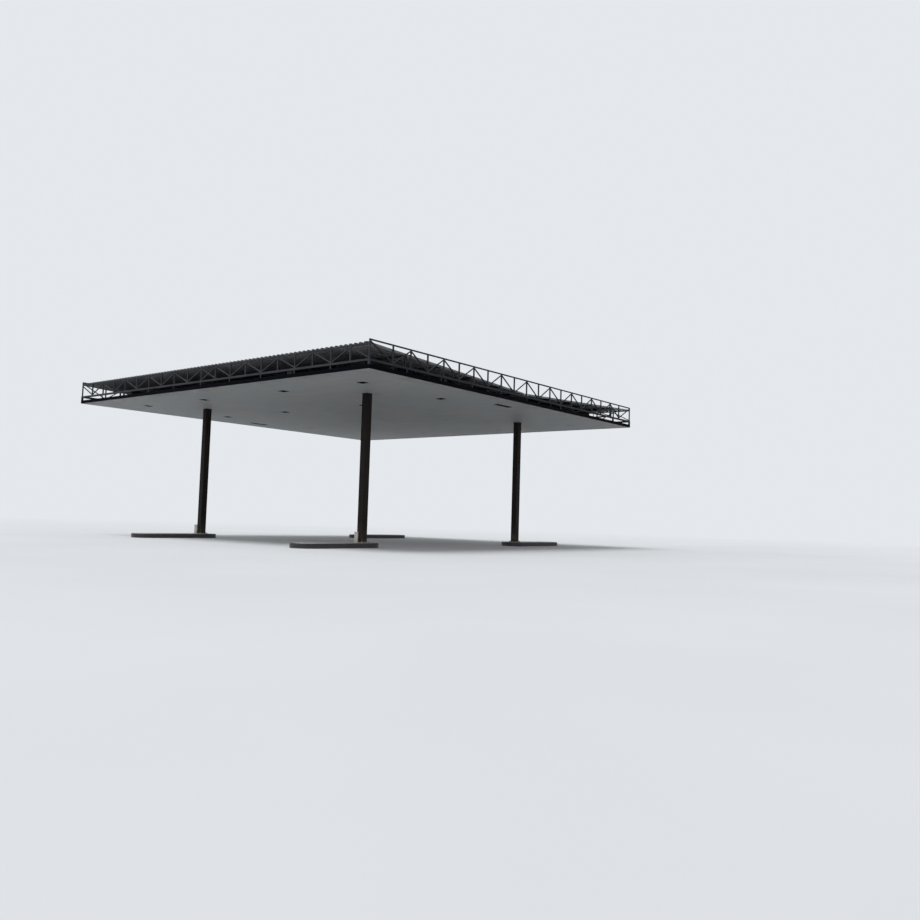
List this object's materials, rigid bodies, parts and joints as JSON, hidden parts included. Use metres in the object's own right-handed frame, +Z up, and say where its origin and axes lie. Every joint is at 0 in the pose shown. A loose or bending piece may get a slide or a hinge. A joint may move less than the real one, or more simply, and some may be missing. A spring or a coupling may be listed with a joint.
{
  "type": "filling station canopy",
  "caption": "Square flat canopy on four box columns over kerbed islands, with open lattice fascias, ribbed butterfly roof and a plank soffit with lamp cut-outs.",
  "frame": {"origin": "centre of the plan at ground level, between the four columns", "axes": "+Z up, +X across the lanes, +Y along the lanes and the islands, away from the front"},
  "size_m": [20, 20, 7.57],
  "materials": {
    "painted_steel": "dark anthracite paint, satin",
    "deck_sheet": "dark coated ribbed sheet, satin",
    "galvanised": "galvanised, spangled",
    "soffit_panel": "pale grey coated planks, matt",
    "kerb": "dark painted steel kerb, worn",
    "concrete": "trowelled concrete infill",
    "pvc": "white plastic pipe"
  },
  "bodies": {
    "root": {"island_kerb_front_left": "kerb", "island_kerb_front_right": "kerb", "island_kerb_rear_left": "kerb", "island_kerb_rear_right": "kerb", "island_fill_front_left": "concrete", "island_fill_front_right": "concrete", "island_fill_rear_left": "concrete", "island_fill_rear_right": "concrete", "column_front_left": "painted_steel", "column_front_right": "painted_steel", "column_rear_left": "painted_steel", "column_rear_right": "painted_steel", "column_base_plates": "painted_steel", "column_head_plates": "painted_steel", "conduit_stubs": "pvc", "main_beam_left": "painted_steel", "main_beam_right": "painted_steel", "cross_beams_front": "painted_steel", "cross_beams_rear": "painted_steel", "fascia_truss_front": "painted_steel", "fascia_truss_rear": "painted_steel", "fascia_truss_left": "painted_steel", "fascia_truss_right": "painted_steel", "corner_posts": "painted_steel", "lattice_joists_front": "painted_steel", "lattice_joists_rear": "painted_steel", "purlins_front": "painted_steel", "purlins_rear": "painted_steel", "roof_posts": "painted_steel", "roof_deck_front": "deck_sheet", "roof_deck_rear": "deck_sheet", "valley_gutter": "galvanised", "gutter_brackets": "galvanised", "gutter_outlets": "galvanised", "soffit_panels_front": "soffit_panel", "soffit_panels_middle": "soffit_panel", "soffit_panels_rear": "soffit_panel", "column_collars": "soffit_panel", "soffit_trimmers": "painted_steel", "soffit_rails": "galvanised", "soffit_hangers": "galvanised", "soffit_edge_trim": "painted_steel", "trim_ties": "painted_steel"}
  },
  "joints": []
}
